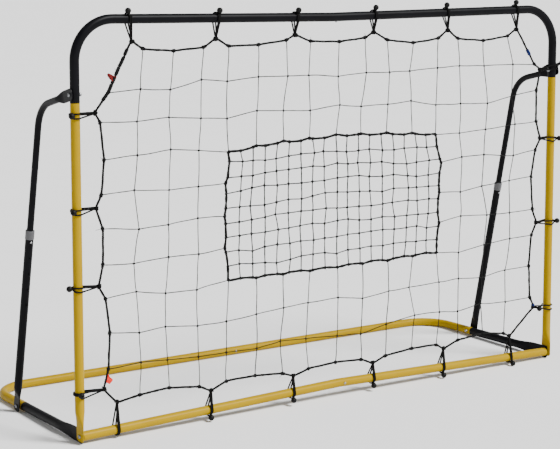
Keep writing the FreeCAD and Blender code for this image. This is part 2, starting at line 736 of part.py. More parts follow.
# In the spigots the leaf points back towards the swaged tube's own side of the seam.
for label, at, outward, along, place in (
    ("top_snap_clip", TOP_CLIP, -Z_AXIS, -X_AXIS, FRAME_PLACE),
    ("bottom_snap_clip", BOTTOM_CLIP, -Y_AXIS, -X_AXIS, FRAME_PLACE),
    ("rear_snap_clip", REAR_CLIP, -Y_AXIS, -X_AXIS, BASE_PLACE),
):
    clip = snap_clip(label, RAIL_BORE, "(Sizes.rail_pin_dia)", "Sizes.tube_dia / 2")
    clip.Placement = place.multiply(clip_place(at, outward, along))
    nodes[label] = clip

strut_clip = snap_clip("strut_snap_clip_left", STRUT_BORE, "(Sizes.strut_pin_dia)",
                       "Sizes.lower_dia / 2")
strut_clip.Placement = STRUT_PLACE.multiply(
    clip_place(Vector(0, 0, size("first_hole")), -Y_AXIS, Z_AXIS))
nodes["strut_snap_clip_left"] = strut_clip
mirrored("strut_snap_clip_right", strut_clip)

# ---------------------------------------------------------------- net

# Each tie gathers the border towards its rail. A tie is (place along the rail, height or
# reach of the gathered border, place of its ball along the rail, and how far the ball lies
# outward and forward of the rail's axis).
TOP_TIES = [
    (-725, 1136, -741, 23.3, 12.6), (-443, 1135, -436, 22.7, 12.6),
    (-161, 1138, -155, 22.2, 12.6), (140, 1140, 139, 25.2, 12.6),
    (442, 1139, 427, 25.2, 12.6), (741, 1136, 726, 26, 12.6),
]
BOTTOM_TIES = [
    (-786, 82, -790, 3.5, -23.4), (-466, 68, -477, 19.5, 19.5),
    (-165, 69, -175, 20, 18), (147, 66, 138, 21.5, 18),
    (441, 73, 428, 22.5, 20), (734, 77, 730, 16.8, 25),
]
LEFT_TIES = [
    (934, 845, 930, 17.8, 15.4), (662, 846, 657, 17.4, 15.8),
    (434, 841, 437, 28, 3), (128, 829, 127, 4.8, 23),
]
RIGHT_TIES = [
    (993, 852, 1013, 28, 17), (757, 858, 754, 22.5, 20),
    (464, 848, 466, 20.5, 20), (168, 844, 161, -47, 13),
]


def border_points():
    """The net's edge, clockwise from the upper left tie, in the net's plane."""
    cell, middle = size("cell"), size("net_middle")
    columns = [i * cell for i in range(-7, 8)]
    rows = [middle + i * cell for i in range(4, -5, -1)]
    top = [tie[:2] for tie in TOP_TIES] + [(x, size("top_border")) for x in columns]
    bottom = [tie[:2] for tie in BOTTOM_TIES] + [(x, size("bottom_border")) for x in columns]
    reach = size("net_half_width")
    right = [(x, z) for z, x, *_ in RIGHT_TIES] + [(reach, z) for z in rows]
    left = [(-x, z) for z, x, *_ in LEFT_TIES] + [(-reach, z) for z in rows]
    ring = sorted(top) + sorted(right, key=lambda p: -p[1])
    ring += sorted(bottom, reverse=True) + sorted(left, key=lambda p: p[1])
    return [Vector(x, 0, z) for x, z in ring]


def flat_face(points):
    return Part.Face(Part.makePolygon([*points, points[0]]))


def slab(face, thick):
    """Thickens a face of the net's plane equally to both sides."""
    solid = face.extrude(Vector(0, thick, 0))
    solid.translate(Vector(0, -thick / 2, 0))
    return solid


def target_face(grow):
    half_w = size("target_half_width") + grow
    half_h = size("target_half_height") + grow
    middle = size("net_middle")
    corners = [(-half_w, middle - half_h), (half_w, middle - half_h),
               (half_w, middle + half_h), (-half_w, middle + half_h)]
    return flat_face([Vector(x, 0, z) for x, z in corners])


ROPE_R = size("rope_dia") / 2
edge_wire = Part.makePolygon([*border_points(), border_points()[0]])
edge_face = Part.Face(edge_wire)
grown = edge_face.makeOffset2D(ROPE_R)
shrunk = edge_face.makeOffset2D(-ROPE_R)
mesh_face = edge_face.makeOffset2D(-ROPE_R - 0.3)
rope_d = size("rope_dia")

feature("border_rope", slab(grown.cut(shrunk), rope_d), FRAME_PLACE)
feature("outer_net", slab(mesh_face.cut(target_face(ROPE_R + 0.3)), size("net_thick")), FRAME_PLACE)
feature("target_rope", slab(target_face(ROPE_R).cut(target_face(-ROPE_R)), rope_d), FRAME_PLACE)
feature("target_net", slab(target_face(-ROPE_R - 0.3), size("net_thick")), FRAME_PLACE)


# ---------------------------------------------------------------- ties and balls

def hull_face(far_x, big, small):
    """The outline drawn round a big circle at the origin and a small one at far_x."""
    lean = math.acos((big - small) / far_x)
    dirs = [Vector(math.cos(a), math.sin(a), 0) for a in (lean, -lean)]
    far = Vector(far_x, 0, 0)
    upper, lower = dirs[0] * big, dirs[1] * big
    far_upper, far_lower = far + dirs[0] * small, far + dirs[1] * small
    edges = [
        Part.Arc(upper, Vector(-big, 0, 0), lower).toShape(),
        Part.LineSegment(lower, far_lower).toShape(),
        Part.Arc(far_lower, far + Vector(small, 0, 0), far_upper).toShape(),
        Part.LineSegment(far_upper, upper).toShape(),
    ]
    return Part.Face(Part.Wire(edges))


def tie_loop(gather, ball):
    """An elastic loop round a tube along Z, from the gathered border at +X to its ball."""
    inner = TUBE_R + size("tie_slack")
    cord = size("tie_cord")
    ball_r = size("ball_dia") / 2
    band = hull_face(gather, inner + cord, cord).cut(hull_face(gather - cord, inner, 0.8))
    loop = band.extrude(Vector(0, 0, cord))
    loop.translate(Vector(0, 0, -cord / 2))
    to_ball = Vector(ball.x, ball.y, 0)
    hangs_free = to_ball.Length - ball_r > inner + cord and ball.x < 0
    if hangs_free:
        start = to_ball.normalize() * (inner + cord / 2)
        loop = loop.fuse(rod(cord / 2, start, ball))
    return loop.cut(Part.makeSphere(ball_r + 0.3, ball))


# A ball has a hole right through for the cord, countersunk on its outer side.
ball_form = doc.addObject("Part::Sphere", "ball_form")
ball_form.setExpression("Radius", "Sizes.ball_dia / 2")
ball_bore = doc.addObject("Part::Cylinder", "ball_bore")
ball_bore.setExpression("Radius", "Sizes.ball_hole / 2")
ball_bore.setExpression("Height", "Sizes.ball_dia + 2")
ball_bore.setExpression("Placement.Base.z", "-Sizes.ball_dia / 2 - 1")
ball_sink = doc.addObject("Part::Cone", "ball_sink")
ball_sink.setExpression("Radius1", "Sizes.ball_hole / 2")
ball_sink.setExpression("Radius2", "Sizes.ball_hole / 2 + 2")
ball_sink.Height = 2.5
ball_sink.setExpression("Placement.Base.z", "Sizes.ball_dia / 2 - 2")
ball_holes = doc.addObject("Part::Fuse", "ball_holes")
ball_holes.Base = ball_bore
ball_holes.Tool = ball_sink
tie_ball = doc.addObject("Part::Cut", "tie_ball")
tie_ball.Base = ball_form
tie_ball.Tool = ball_holes
doc.recompute()


def tie_frame(axis, tube_centre, towards):
    """The frame of one tie: +Z along the tube, +X towards the net."""
    side = axis.cross(towards)
    return Placement(Matrix(towards.x, side.x, axis.x, tube_centre.x,
                            towards.y, side.y, axis.y, tube_centre.y,
                            towards.z, side.z, axis.z, tube_centre.z,
                            0, 0, 0, 1))


def bottom_axis_z(x):
    """Height of the bottom rail's axis above the pivot axis."""
    seam = size("bottom_seam")
    end = -RAIL_END_X if x < seam else RAIL_END_X
    return size("bottom_rise") * (end - x) / (end - seam)


def tie_group(name, ties):
    """One side's ties and balls, from (tie frame, distance to the border, ball) triples."""
    loops, balls = [], []
    for frame, reach, ball_at in ties:
        ball_at = frame.inverse().multVec(ball_at)
        loop = tie_loop(reach - ROPE_R - size("tie_cord") - 0.3, ball_at)
        if len(loop.Solids) != 1:
            raise RuntimeError(f"a tie in {name}_ties is cut in two by its ball")
        loop.Placement = frame.multiply(loop.Placement)
        loops.append(loop)
        ball = tie_ball.Shape.copy()
        ball.Placement = frame.multiply(Placement(ball_at, Rotation(Z_AXIS, ball_at)))
        balls.append(ball)
    feature(name + "_ties", Part.makeCompound(loops), FRAME_PLACE)
    feature(name + "_tie_balls", Part.makeCompound(balls), FRAME_PLACE)


def top_tie(_, gather_z, ball_x, out, front):
    axis = top_point(ball_x)
    ball = axis + Vector(0, -front, out)
    return tie_frame(X_AXIS, axis, -Z_AXIS), axis.z - gather_z, ball


def bottom_tie(_, gather_z, ball_x, out, front):
    axis = Vector(ball_x, 0, bottom_axis_z(ball_x))
    ball = axis + Vector(0, -front, -out)
    return tie_frame(-X_AXIS, axis, Z_AXIS), gather_z - axis.z, ball


def side_tie(side, _, gather_x, ball_z, out, front):
    axis = Vector(side * POST_X, 0, ball_z)
    ball = axis + Vector(side * out, -front, 0)
    return tie_frame(Z_AXIS, axis, -X_AXIS * side), POST_X - gather_x, ball


tie_group("top", [top_tie(*tie) for tie in TOP_TIES])
tie_group("bottom", [bottom_tie(*tie) for tie in BOTTOM_TIES])
tie_group("left", [side_tie(-1, *tie) for tie in LEFT_TIES])
tie_group("right", [side_tie(1, *tie) for tie in RIGHT_TIES])


# Two red cloth flags hang from the left side of the border.
def flag(height, drop):
    points = [(0, 0), (16, -6), (14, -drop), (-4, -drop + 5)]
    left = -size("net_half_width") + ROPE_R + 8
    face = flat_face([Vector(left + x, -5, height + z) for x, z in points])
    return face.extrude(Vector(0, 0.8, 0))


feature("net_flags", Part.makeCompound([flag(1052, 30), flag(168, 34)]), FRAME_PLACE)

# ---------------------------------------------------------------- check and write

doc.recompute()
for obj in doc.Objects:
    if "Invalid" in obj.State or "Error" in obj.State:
        raise RuntimeError(f"{obj.Name} failed: {obj.State}")

os.makedirs("parts", exist_ok=True)
for label, piece in nodes.items():
    if piece.Label != label:
        raise RuntimeError(f"{label} is labelled {piece.Label}")
    if piece.Shape.isNull() or not piece.Shape.isValid():
        raise RuntimeError(f"{label} has no valid shape")
    if not piece.Shape.Solids:
        raise RuntimeError(f"{label} is not solid")

for label, piece in nodes.items():
    piece.Shape.exportStep(f"parts/{label}.step")
print(len(nodes), "nodes written")
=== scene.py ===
"""Looks for the pitch back rebounder: its netting, cords, ties, finishes, light and camera.

Lengths in the object's own geometry are millimetres from the middle of the frame's pivot
axis, X to the right, Y backwards and Z up. at() turns them into the frame's metres.
"""

import math

import bpy
import numpy as np
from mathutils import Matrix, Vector


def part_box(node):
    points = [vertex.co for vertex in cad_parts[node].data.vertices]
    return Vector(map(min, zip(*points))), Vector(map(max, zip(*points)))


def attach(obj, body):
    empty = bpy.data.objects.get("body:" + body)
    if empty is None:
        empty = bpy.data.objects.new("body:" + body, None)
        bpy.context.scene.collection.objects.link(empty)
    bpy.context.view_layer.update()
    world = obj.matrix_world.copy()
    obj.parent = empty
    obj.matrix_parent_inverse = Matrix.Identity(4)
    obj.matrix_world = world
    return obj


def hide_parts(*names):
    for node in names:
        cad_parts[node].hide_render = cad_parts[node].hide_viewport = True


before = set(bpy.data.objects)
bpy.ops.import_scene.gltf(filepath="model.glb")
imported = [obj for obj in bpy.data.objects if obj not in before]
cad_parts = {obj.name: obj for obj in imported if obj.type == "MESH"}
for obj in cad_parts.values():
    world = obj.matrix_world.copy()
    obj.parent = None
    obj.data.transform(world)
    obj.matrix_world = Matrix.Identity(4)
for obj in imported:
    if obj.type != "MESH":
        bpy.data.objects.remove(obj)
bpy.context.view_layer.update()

rng = np.random.default_rng(7)


def middle(node):
    """The middle of a node's box, in the frame's metres."""
    low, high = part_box(node)
    return np.array((low + high) / 2)


PIVOT = middle("corner_bolts")


def at(points):
    """Places in the object's millimetres, as the frame's metres."""
    return PIVOT + np.asarray(points, float) * 0.001


# ---------------------------------------------------------------- camera

CAMERA_AT = (-2860.2, -3990.2, 1361.9)
CAMERA_DOWN, CAMERA_RIGHT = 0.12419, 0.58541   # radians from level, and from straight ahead

camera_data = bpy.data.cameras.new("camera")
camera_data.sensor_width = 36
camera_data.lens = 101.211
camera_data.shift_y = -0.12
camera_data.clip_end = 500
camera = bpy.data.objects.new("camera", camera_data)
camera.location = at(CAMERA_AT)
camera.rotation_euler = (math.pi / 2 - CAMERA_DOWN, 0, -CAMERA_RIGHT)
bpy.context.scene.collection.objects.link(camera)
bpy.context.scene.camera = camera


# ---------------------------------------------------------------- materials

class Shader:
    """A Principled material whose nodes are added and wired by short calls."""

    def __init__(self, name, roughness, **sockets):
        self.material = bpy.data.materials.new(name)
        self.material.use_nodes = True
        self.tree = self.material.node_tree
        self.surface = self.tree.nodes["Principled BSDF"]
        self.surface.inputs["Roughness"].default_value = roughness
        for socket, value in sockets.items():
            self.surface.inputs[socket.replace("_", " ")].default_value = value
        self.place = self.add("ShaderNodeTexCoord").outputs["Object"]

    def add(self, kind, inputs=None, **settings):
        made = self.tree.nodes.new(kind)
        for key, value in settings.items():
            setattr(made, key, value)
        for key, value in (inputs or {}).items():
            self.feed(made.inputs[key], value)
        return made

    def feed(self, socket, value):
        if isinstance(value, bpy.types.NodeSocket):
            self.tree.links.new(value, socket)
        else:
            socket.default_value = value

    def noise(self, scale, detail=2, stretch=(1, 1, 1), roughness=0.5, at=None):
        moved = self.add("ShaderNodeMapping", {"Vector": at or self.place, "Scale": stretch})
        made = self.add("ShaderNodeTexNoise", {
            "Vector": moved.outputs[0], "Scale": scale, "Detail": detail,
            "Roughness": roughness})
        return made.outputs["Fac"]

    def ramp(self, value, low, high, start=0.0, end=1.0):
        """Maps value from low..high to start..end, held outside that range."""
        made = self.add("ShaderNodeMapRange", {
            "Value": value, "From Min": low, "From Max": high, "To Min": start,
            "To Max": end})
        return made.outputs[0]

    def mix(self, factor, first, second):
        made = self.add("ShaderNodeMix", data_type="RGBA")
        for socket, value in ((0, factor), (6, first), (7, second)):
            self.feed(made.inputs[socket], value)
        return made.outputs[2]

    def math(self, operation, first, second=0.0, clamp=False):
        made = self.add("ShaderNodeMath", operation=operation, use_clamp=clamp)
        self.feed(made.inputs[0], first)
        self.feed(made.inputs[1], second)
        return made.outputs[0]

    def bump(self, height, distance, strength=1.0):
        """Adds a layer of relief, distance metres deep, over any there already."""
        made = self.add("ShaderNodeBump", {
            "Height": height, "Distance": distance, "Strength": strength})
        under = self.surface.inputs["Normal"]
        if under.is_linked:
            self.tree.links.new(under.links[0].from_socket, made.inputs["Normal"])
        self.tree.links.new(made.outputs[0], under)

    def uv(self):
        """A surface's own UV: along a strand and round it, or across a cloth and up it."""
        parts = self.add("ShaderNodeSeparateXYZ",
                         {"Vector": self.add("ShaderNodeTexCoord").outputs["UV"]})
        return parts.outputs[0], parts.outputs[1]

    def colour(self, value):
        self.feed(self.surface.inputs["Base Color"], value)

    def roughness(self, value):
        self.feed(self.surface.inputs["Roughness"], value)


def grey(value, blue=1.0):
    """A grey whose blue is raised by a factor."""
    return (value, value, value * blue, 1)


DUST_GREY = 0.1
BRAID_PITCH, BRAID_YARNS = 0.0021, 4


def powder_coat(name, main, deep, bare, gloss, shine):
    """Baked powder paint on tube: orange peel, faint blotches, dust and handling scuffs."""
    made = Shader(name, gloss, Specular_IOR_Level=shine)
    blotch = made.ramp(made.noise(9, 3), 0.35, 0.7)
    dust = made.ramp(made.noise(55, 5, roughness=0.7), 0.48, 0.8, 0.0, 0.35)
    scuff_field = made.noise(38, 6, (1, 1, 0.35), 0.75)
    scuff = made.ramp(scuff_field, 0.69, 0.73)
    nick = made.ramp(made.noise(310, 2), 0.77, 0.80)
    worn = made.math("MAXIMUM", scuff, nick)
    tone = made.mix(blotch, main, deep)
    dusty = tuple(0.97 * c + 0.03 * DUST_GREY for c in main[:3]) + (1,)
    tone = made.mix(dust, tone, dusty)
    made.colour(made.mix(made.math("MULTIPLY", worn, 0.55), tone, bare))
    fine = made.noise(900, 2)
    made.roughness(made.math("ADD", made.ramp(fine, 0.3, 0.7, gloss - 0.05, gloss + 0.07),
                             made.math("MULTIPLY", worn, 0.2)))
    made.bump(made.noise(420, 2), 0.00022, 0.35)
    made.bump(made.noise(1500, 1), 0.00005, 0.3)
    made.bump(worn, -0.00008, 0.5)
    return made.material


def plated_steel(name, tone, roughness):
    """Bright plated steel with turning marks and dull patches."""
    made = Shader(name, roughness, Metallic=1.0)
    patch = made.noise(160, 4, roughness=0.65)
    made.colour(made.mix(made.ramp(patch, 0.35, 0.75), tone,
                         tuple(0.72 * c for c in tone[:3]) + (1,)))
    brush = made.noise(2600, 2, (0.06, 1, 1))
    made.roughness(made.math("ADD", made.ramp(patch, 0.3, 0.7, roughness - 0.06, roughness + 0.1),
                             made.ramp(brush, 0.4, 0.6, 0.0, 0.08)))
    made.bump(brush, 0.00003, 0.4)
    return made.material


def moulded(name, main, light, roughness, grain, shine=0.45):
    """Moulded plastic with spark-eroded grain, flow marks and rubbed spots."""
    made = Shader(name, roughness, Specular_IOR_Level=shine)
    flow = made.noise(60, 3, (1, 1, 0.3))
    rub = made.ramp(made.noise(240, 4, roughness=0.7), 0.58, 0.75)
    made.colour(made.mix(made.math("MULTIPLY", rub, 0.5), made.mix(flow, main, light), light))
    made.roughness(made.ramp(flow, 0.3, 0.7, roughness - 0.08, roughness + 0.08))
    made.bump(made.noise(grain, 3, roughness=0.6), 0.00007, 0.5)
    return made.material


def spun_cord(name, main, light, pitch, plies, fibre):
    """Spun synthetic cord, its twist taken from the strand's own UVs."""
    made = Shader(name, 0.8, Specular_IOR_Level=0.12)
    u, v = made.uv()
    along = made.math("MULTIPLY", u, plies / pitch)
    turn = made.math("MULTIPLY", v, plies)
    phase = made.math("MULTIPLY", made.math("ADD", along, turn), 2 * math.pi)
    ply = made.ramp(made.math("SINE", phase), -1, 1)
    hair = made.noise(fibre, 4, roughness=0.7)
    wear = made.ramp(made.noise(45, 3), 0.4, 0.75, 0.0, 0.8)
    # The colour follows the plies' relief: darker in the grooves between plies as painted shade,
    # lighter on their crowns, with fibre tone and real wear mixed in.
    groove_shade_and_wear = made.math("MULTIPLY", made.math("MULTIPLY", ply, hair), 1.1, True)
    groove_shade_and_wear = made.math("ADD", groove_shade_and_wear, made.math("MULTIPLY", wear, 0.25), True)
    made.colour(made.mix(groove_shade_and_wear, main, light))
    made.bump(ply, 0.00025, 0.8)
    made.bump(hair, 0.00008, 0.7)
    return made.material


def braided_elastic(name, main, light):
    """The braided cover of shock cord: two crossing sets of yarns in a diamond pattern."""
    made = Shader(name, 0.7, Specular_IOR_Level=0.06)
    u, v = made.uv()
    along = made.math("MULTIPLY", u, 2 * math.pi / BRAID_PITCH)
    turn = made.math("MULTIPLY", v, 2 * math.pi * BRAID_YARNS)
    left = made.math("SINE", made.math("ADD", along, turn))
    right = made.math("SINE", made.math("SUBTRACT", along, turn))
    braid = made.ramp(made.math("MAXIMUM", left, right), -0.4, 1)
    hair = made.noise(2400, 3)
    # The colour follows the braid's relief: darker between the yarns as painted shade, lighter on
    # their crowns, with fibre tone mixed in.
    made.colour(made.mix(made.math("MULTIPLY", braid, hair), main, light))
    made.bump(braid, 0.00012, 0.6)
    made.bump(hair, 0.00005, 0.5)
    return made.material


def woven_cloth(name, main, deep, thread):
    """Plain-weave cloth: warp and weft over and under, thread metres apart."""
    made = Shader(name, 0.9, Specular_IOR_Level=0.1, Sheen_Weight=0.04)
    u, v = made.uv()
    warp = made.math("SINE", made.math("MULTIPLY", u, math.pi / thread))
    weft = made.math("SINE", made.math("MULTIPLY", v, math.pi / thread))
    weave = made.ramp(made.math("MULTIPLY", warp, weft), -1, 1)
    fade = made.ramp(made.noise(130, 4), 0.35, 0.7)
    # The weave's hollows take the deep colour as painted shade and its raised crossings the main
    # one; the fade noise darkens patches at random.
    made.colour(made.mix(made.math("MULTIPLY", fade, 0.6),
                         made.mix(weave, deep, main), deep))
    made.bump(weave, 0.00012, 0.8)
    made.bump(made.noise(300, 3), 0.0004, 0.4)
    return made.material


BLACK_TUBE = powder_coat("black_powder", grey(0.0034, 1.4), grey(0.0020, 1.2), grey(0.02), 0.40,
                         0.07)
YELLOW_TUBE = powder_coat("yellow_powder", (0.335, 0.213, 0.0, 1), (0.315, 0.194, 0.0, 1),
                          (0.22, 0.14, 0.003, 1), 0.36, 0.06)
ZINC = plated_steel("zinc_plate", (0.26, 0.265, 0.275, 1), 0.38)
SPRING = plated_steel("spring_steel", (0.36, 0.36, 0.37, 1), 0.36)
GREY_PLASTIC = moulded("grey_plastic", grey(0.060, 1.08), grey(0.085, 1.06), 0.52, 1700)
BLACK_PLASTIC = moulded("black_plastic", grey(0.0030), grey(0.006), 0.5, 2200, 0.12)
NET_TWINE = spun_cord("net_twine", grey(0.004), grey(0.016), 0.0060, 2, 2600)
ROPE = spun_cord("rope_strand", grey(0.003), grey(0.014), 0.0080, 3, 1500)
THREAD = spun_cord("blue_thread", (0.004, 0.010, 0.07, 1), (0.014, 0.032, 0.17, 1), 0.003, 2,
                   3000)
ELASTIC = braided_elastic("shock_cord", grey(0.0025), grey(0.009))
RED_BRIGHT = woven_cloth("red_cloth", (0.80, 0.030, 0.012, 1), (0.58, 0.018, 0.009, 1), 0.0006)
RED_DULL = woven_cloth("red_cloth_faded", (0.15, 0.009, 0.008, 1), (0.09, 0.006, 0.006, 1),
                       0.0006)

FINISH = {
    "black_tube": BLACK_TUBE, "yellow_tube": YELLOW_TUBE, "zinc": ZINC,
    "spring_steel": SPRING, "grey_plastic": GREY_PLASTIC, "black_plastic": BLACK_PLASTIC,
    "net_twine": NET_TWINE, "elastic_cord": ELASTIC, "red_cloth": RED_BRIGHT,
}
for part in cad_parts.values():
    for material_slot in part.material_slots:
        material_slot.material = FINISH[material_slot.material.name.split(".")[0]]


# ---------------------------------------------------------------- strands

def unit(v):
    """The same directions at length one."""
    return v / np.linalg.norm(v, axis=-1, keepdims=True)


def evenly(points, step, closed=False):
    """The same path with its points a step apart."""
    points = np.asarray(points, float)
    if closed:
        points = np.vstack([points, points[:1]])
    run = np.r_[0, np.cumsum(np.linalg.norm(np.diff(points, axis=0), axis=1))]
    count = max(4, int(round(run[-1] / step)))
    marks = np.linspace(0, run[-1], count + 1)
    if closed:
        marks = marks[:-1]
    return np.stack([np.interp(marks, run, c) for c in points.T], 1)


def eased(points, passes, closed=False):
    """Rounds a path's corners. An open path keeps its ends."""
    points = np.array(points, float)
    for _ in range(passes):
        if closed:
            points = (np.roll(points, 1, 0) + 2 * points + np.roll(points, -1, 0)) / 4
        else:
            points[1:-1] = (points[:-2] + 2 * points[1:-1] + points[2:]) / 4
    return points


class Line:
    """A path with directions across it that don't spin, to lay strands along and around."""

    def __init__(self, points, closed=False):
        self.closed = closed
        path = np.asarray(points, float)
        if closed:
            tangent = np.roll(path, -1, 0) - np.roll(path, 1, 0)
        else:
            tangent = np.gradient(path, axis=0)
        tangent = unit(tangent)
        helper = np.eye(3)[np.argmin(np.abs(tangent[0]))]
        side = [unit(np.cross(tangent[0], helper))]
        for t in tangent[1:]:
            v = side[-1] - np.dot(side[-1], t) * t
            side.append(v / math.sqrt(np.dot(v, v)))
        side = np.array(side)
        if closed:
            last = side[-1] - np.dot(side[-1], tangent[0]) * tangent[0]
            over = math.atan2(np.dot(np.cross(side[0], last), tangent[0]),
                              np.dot(side[0], last))
            turn = -over * np.arange(len(path)) / len(path)
            up = np.cross(tangent, side)
            side = np.cos(turn)[:, None] * side + np.sin(turn)[:, None] * up
            path, side, tangent = (np.vstack([a, a[:1]]) for a in (path, side, tangent))
        self.path, self.side, self.up = path, side, np.cross(tangent, side)
        steps = np.linalg.norm(np.diff(path, axis=0), axis=1)
        self.run = np.r_[0, np.cumsum(steps)]
        self.length = self.run[-1]

    def around(self, run, angle, reach):
        """Points at distances along the path, turned by angle and reach away from it."""
        run = np.mod(run, self.length) if self.closed else np.clip(run, 0, self.length)

        def read(values):
            return np.stack([np.interp(run, self.run, c) for c in values.T], 1)

        angle, reach = (np.broadcast_to(v, run.shape)[:, None] for v in (angle, reach))
        return read(self.path) + reach * (np.cos(angle) * read(self.side)
                                          + np.sin(angle) * read(self.up))

    def nearest(self, point):
        return self.run[np.argmin(np.linalg.norm(self.path - np.asarray(point), axis=1))]


PLY_STEPS, WRAP_STEPS = 11, 12   # points to each turn
ROUND = 6.28   # radians, for a start anywhere round a turn


class Strands:
    """Many round strands in one mesh. Their U runs along them in metres."""

    def __init__(self):
        self.points, self.faces, self.uvs, self.count = [], [], [], 0

    def add(self, points, radius, sides=8, closed=False):
        line = Line(points, closed)
        rings = len(line.path)
        radius = np.broadcast_to(radius, len(points)).astype(float)
        if closed:
            radius = np.append(radius, radius[0])
        turn = np.arange(sides) * 2 * math.pi / sides
        out = (np.cos(turn)[None, :, None] * line.side[:, None]
               + np.sin(turn)[None, :, None] * line.up[:, None])
        self.points.append((line.path[:, None] + radius[:, None, None] * out).reshape(-1, 3))
        ring, k = np.meshgrid(np.arange(rings - 1), np.arange(sides), indexing="ij")
        ring, k = ring.ravel(), k.ravel()
        after = (k + 1) % sides
        quad = np.stack([ring * sides + k, ring * sides + after,
                         (ring + 1) * sides + after, (ring + 1) * sides + k], 1)
        self.faces += (quad + self.count).tolist()
        u = line.run * 0.001
        self.uvs.append(np.stack([
            np.stack([u[ring], u[ring], u[ring + 1], u[ring + 1]], 1),
            np.stack([k, k + 1, k + 1, k], 1) / sides], 2).reshape(-1, 2))
        if not closed:
            for first, order in ((0, range(sides - 1, -1, -1)),
                                 ((rings - 1) * sides, range(sides))):
                self.faces.append([self.count + first + i for i in order])
                self.uvs.append(np.array([[u[first // sides], i / sides] for i in order]))
        self.count += rings * sides

    def twisted(self, line, start, end, radius, pitch, plies=3, sides=7, uneven=0.08,
                closed=False):
        """A laid rope: plies that wind round each other along a stretch of line."""
        count = int((end - start) / pitch * PLY_STEPS)
        run = np.linspace(start, end, count, endpoint=not closed)
        turns = round((end - start) / pitch) if closed else (end - start) / pitch
        swell = 1 + uneven * uneven_field(run, 35)
        for ply in range(plies):
            angle = (2 * math.pi * (turns * (run - start) / (end - start) + ply / plies)
                     + 0.25 * uneven_field(run, 50))
            path = line.around(run, angle, radius * 0.54 * swell)
            self.add(path, radius * 0.5 * swell, sides, closed)

    def wrapped(self, line, middle_run, length, reach, radius, sides=6, lean=0.0):
        """Turns of cord wound side by side round the line."""
        turns = max(2.0, length / (2.05 * radius))
        t = np.linspace(0, 1, int(turns * WRAP_STEPS))
        run = middle_run + (t - 0.5) * length
        angle = 2 * math.pi * turns * t + rng.uniform(0, ROUND)
        sway = 1 + 0.06 * np.sin(t * 17 + rng.uniform(0, 6))
        path = line.around(run + lean * np.sin(angle), angle, reach * sway)
        self.add(path, radius, sides)

    def knot(self, centre, size, radius, sides=5):
        """A tight overhand knot, turned at random and flattened towards the net's plane."""
        t = np.linspace(0, 2 * math.pi, 26, endpoint=False)
        loop = np.stack([np.sin(t) + 2 * np.sin(2 * t), 0.9 * np.sin(3 * t),
                         np.cos(t) - 2 * np.cos(2 * t)], 1) * (size / 3)
        spin, tilt = rng.uniform(0, 2 * math.pi), rng.normal(0, 0.35)
        c, s, ct, st = math.cos(spin), math.sin(spin), math.cos(tilt), math.sin(tilt)
        turned = loop @ np.array([[c, 0, -s], [0, 1, 0], [s, 0, c]])
        turned = turned @ np.array([[1, 0, 0], [0, ct, st], [0, -st, ct]])
        self.add(centre + turned, radius, sides, closed=True)

    def piece(self, name, material, slot, *nodes):
        """Makes all the strands one object, in the place of any nodes given."""
        mesh = smooth_mesh(name, at(np.vstack(self.points)).tolist(), self.faces,
                           np.vstack(self.uvs), material)
        return placed(name, mesh, slot, *nodes)


def smooth_mesh(name, verts, faces, uvs, material):
    """A smooth mesh in the frame's metres, with a UV for every corner of every face."""
    mesh = bpy.data.meshes.new(name)
    mesh.from_pydata(verts, [], faces)
    layer = mesh.uv_layers.new(name="UVMap")
    layer.data.foreach_set("uv", np.asarray(uvs, np.float32).ravel())
    mesh.polygons.foreach_set("use_smooth", [True] * len(mesh.polygons))
    mesh.materials.append(material)
    mesh.update()
    return mesh


def placed(name, mesh, slot, *nodes):
    """An object that rides with the upright frame, in the place of any nodes given."""
    made = bpy.data.objects.new(name, mesh)
    bpy.context.scene.collection.objects.link(made)
    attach(made, "front_frame")
    if nodes:
        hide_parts(*nodes)
    return made


WAVES = [(rng.uniform(0.6, 1.7), rng.uniform(0, ROUND)) for _ in range(5)]


def uneven_field(run, wavelength):
    """A smooth wandering value between about -1 and 1."""
    total = sum(np.sin(run * 2 * math.pi * pace / wavelength + phase) for pace, phase in WAVES)
    return total / 3.2


# ---------------------------------------------------------------- net

# The coarse mesh has 15 columns and 9 rows of knots. Columns -4 to 4 and rows 2 to 6 reach the
# target, whose fine mesh is 18 by 9, at 2.25 fine meshes to a coarse one.
COLUMNS, ROWS = range(-7, 8), range(9)
TARGET_SIDE, TARGET_FIRST, TARGET_LAST = 4, 2, 6
FINE_COLUMNS, FINE_ROWS, FINE_PER_MESH = 18, 9, 2.25
BORDER_SIDES = ("top", "bottom", "left", "right")
NET_MIDDLE = 600   # the height of the net's middle
# Where the border is gathered by each tie: (x, z).
TOP_GATHERS = [(-725, 1136), (-443, 1135), (-161, 1138), (140, 1140), (442, 1139), (741, 1136)]
BOTTOM_GATHERS = [(-786, 82), (-466, 68), (-165, 69), (147, 66), (441, 73), (734, 77)]
LEFT_GATHERS = [(-845, 934), (-846, 662), (-841, 434), (-829, 128)]
RIGHT_GATHERS = [(852, 993), (858, 757), (848, 464), (844, 168)]
# Where each mesh line is knotted to the border, from the left and from the top.
TOP_ENDS = [(-688, 1110), (-587, 1102), (-484, 1109), (-399, 1110), (-294, 1111),
            (-192, 1122), (-101, 1116), (7, 1112), (109, 1122), (194, 1112), (300, 1100),
            (402, 1111), (485, 1108), (594, 1099), (701, 1111)]
BOTTOM_ENDS = [(-709, 94), (-611, 100), (-505, 87), (-412, 91), (-307, 92), (-205, 84),
               (-107, 85), (-2, 91), (100, 85), (197, 84), (304, 93), (410, 92), (504, 95),
               (613, 103), (707, 91)]
LEFT_ENDS = [(-801, 990), (-828, 906), (-817, 798), (-827, 698), (-824, 598), (-825, 494),
             (-818, 394), (-806, 293), (-812, 187)]
RIGHT_ENDS = [(824, 1012), (836, 923), (837, 815), (836, 718), (819, 626), (828, 513),
              (825, 421), (817, 315), (824, 203)]
# The border's lower right corner, which no knot or gather marks.
LOWER_RIGHT = (793, 127)
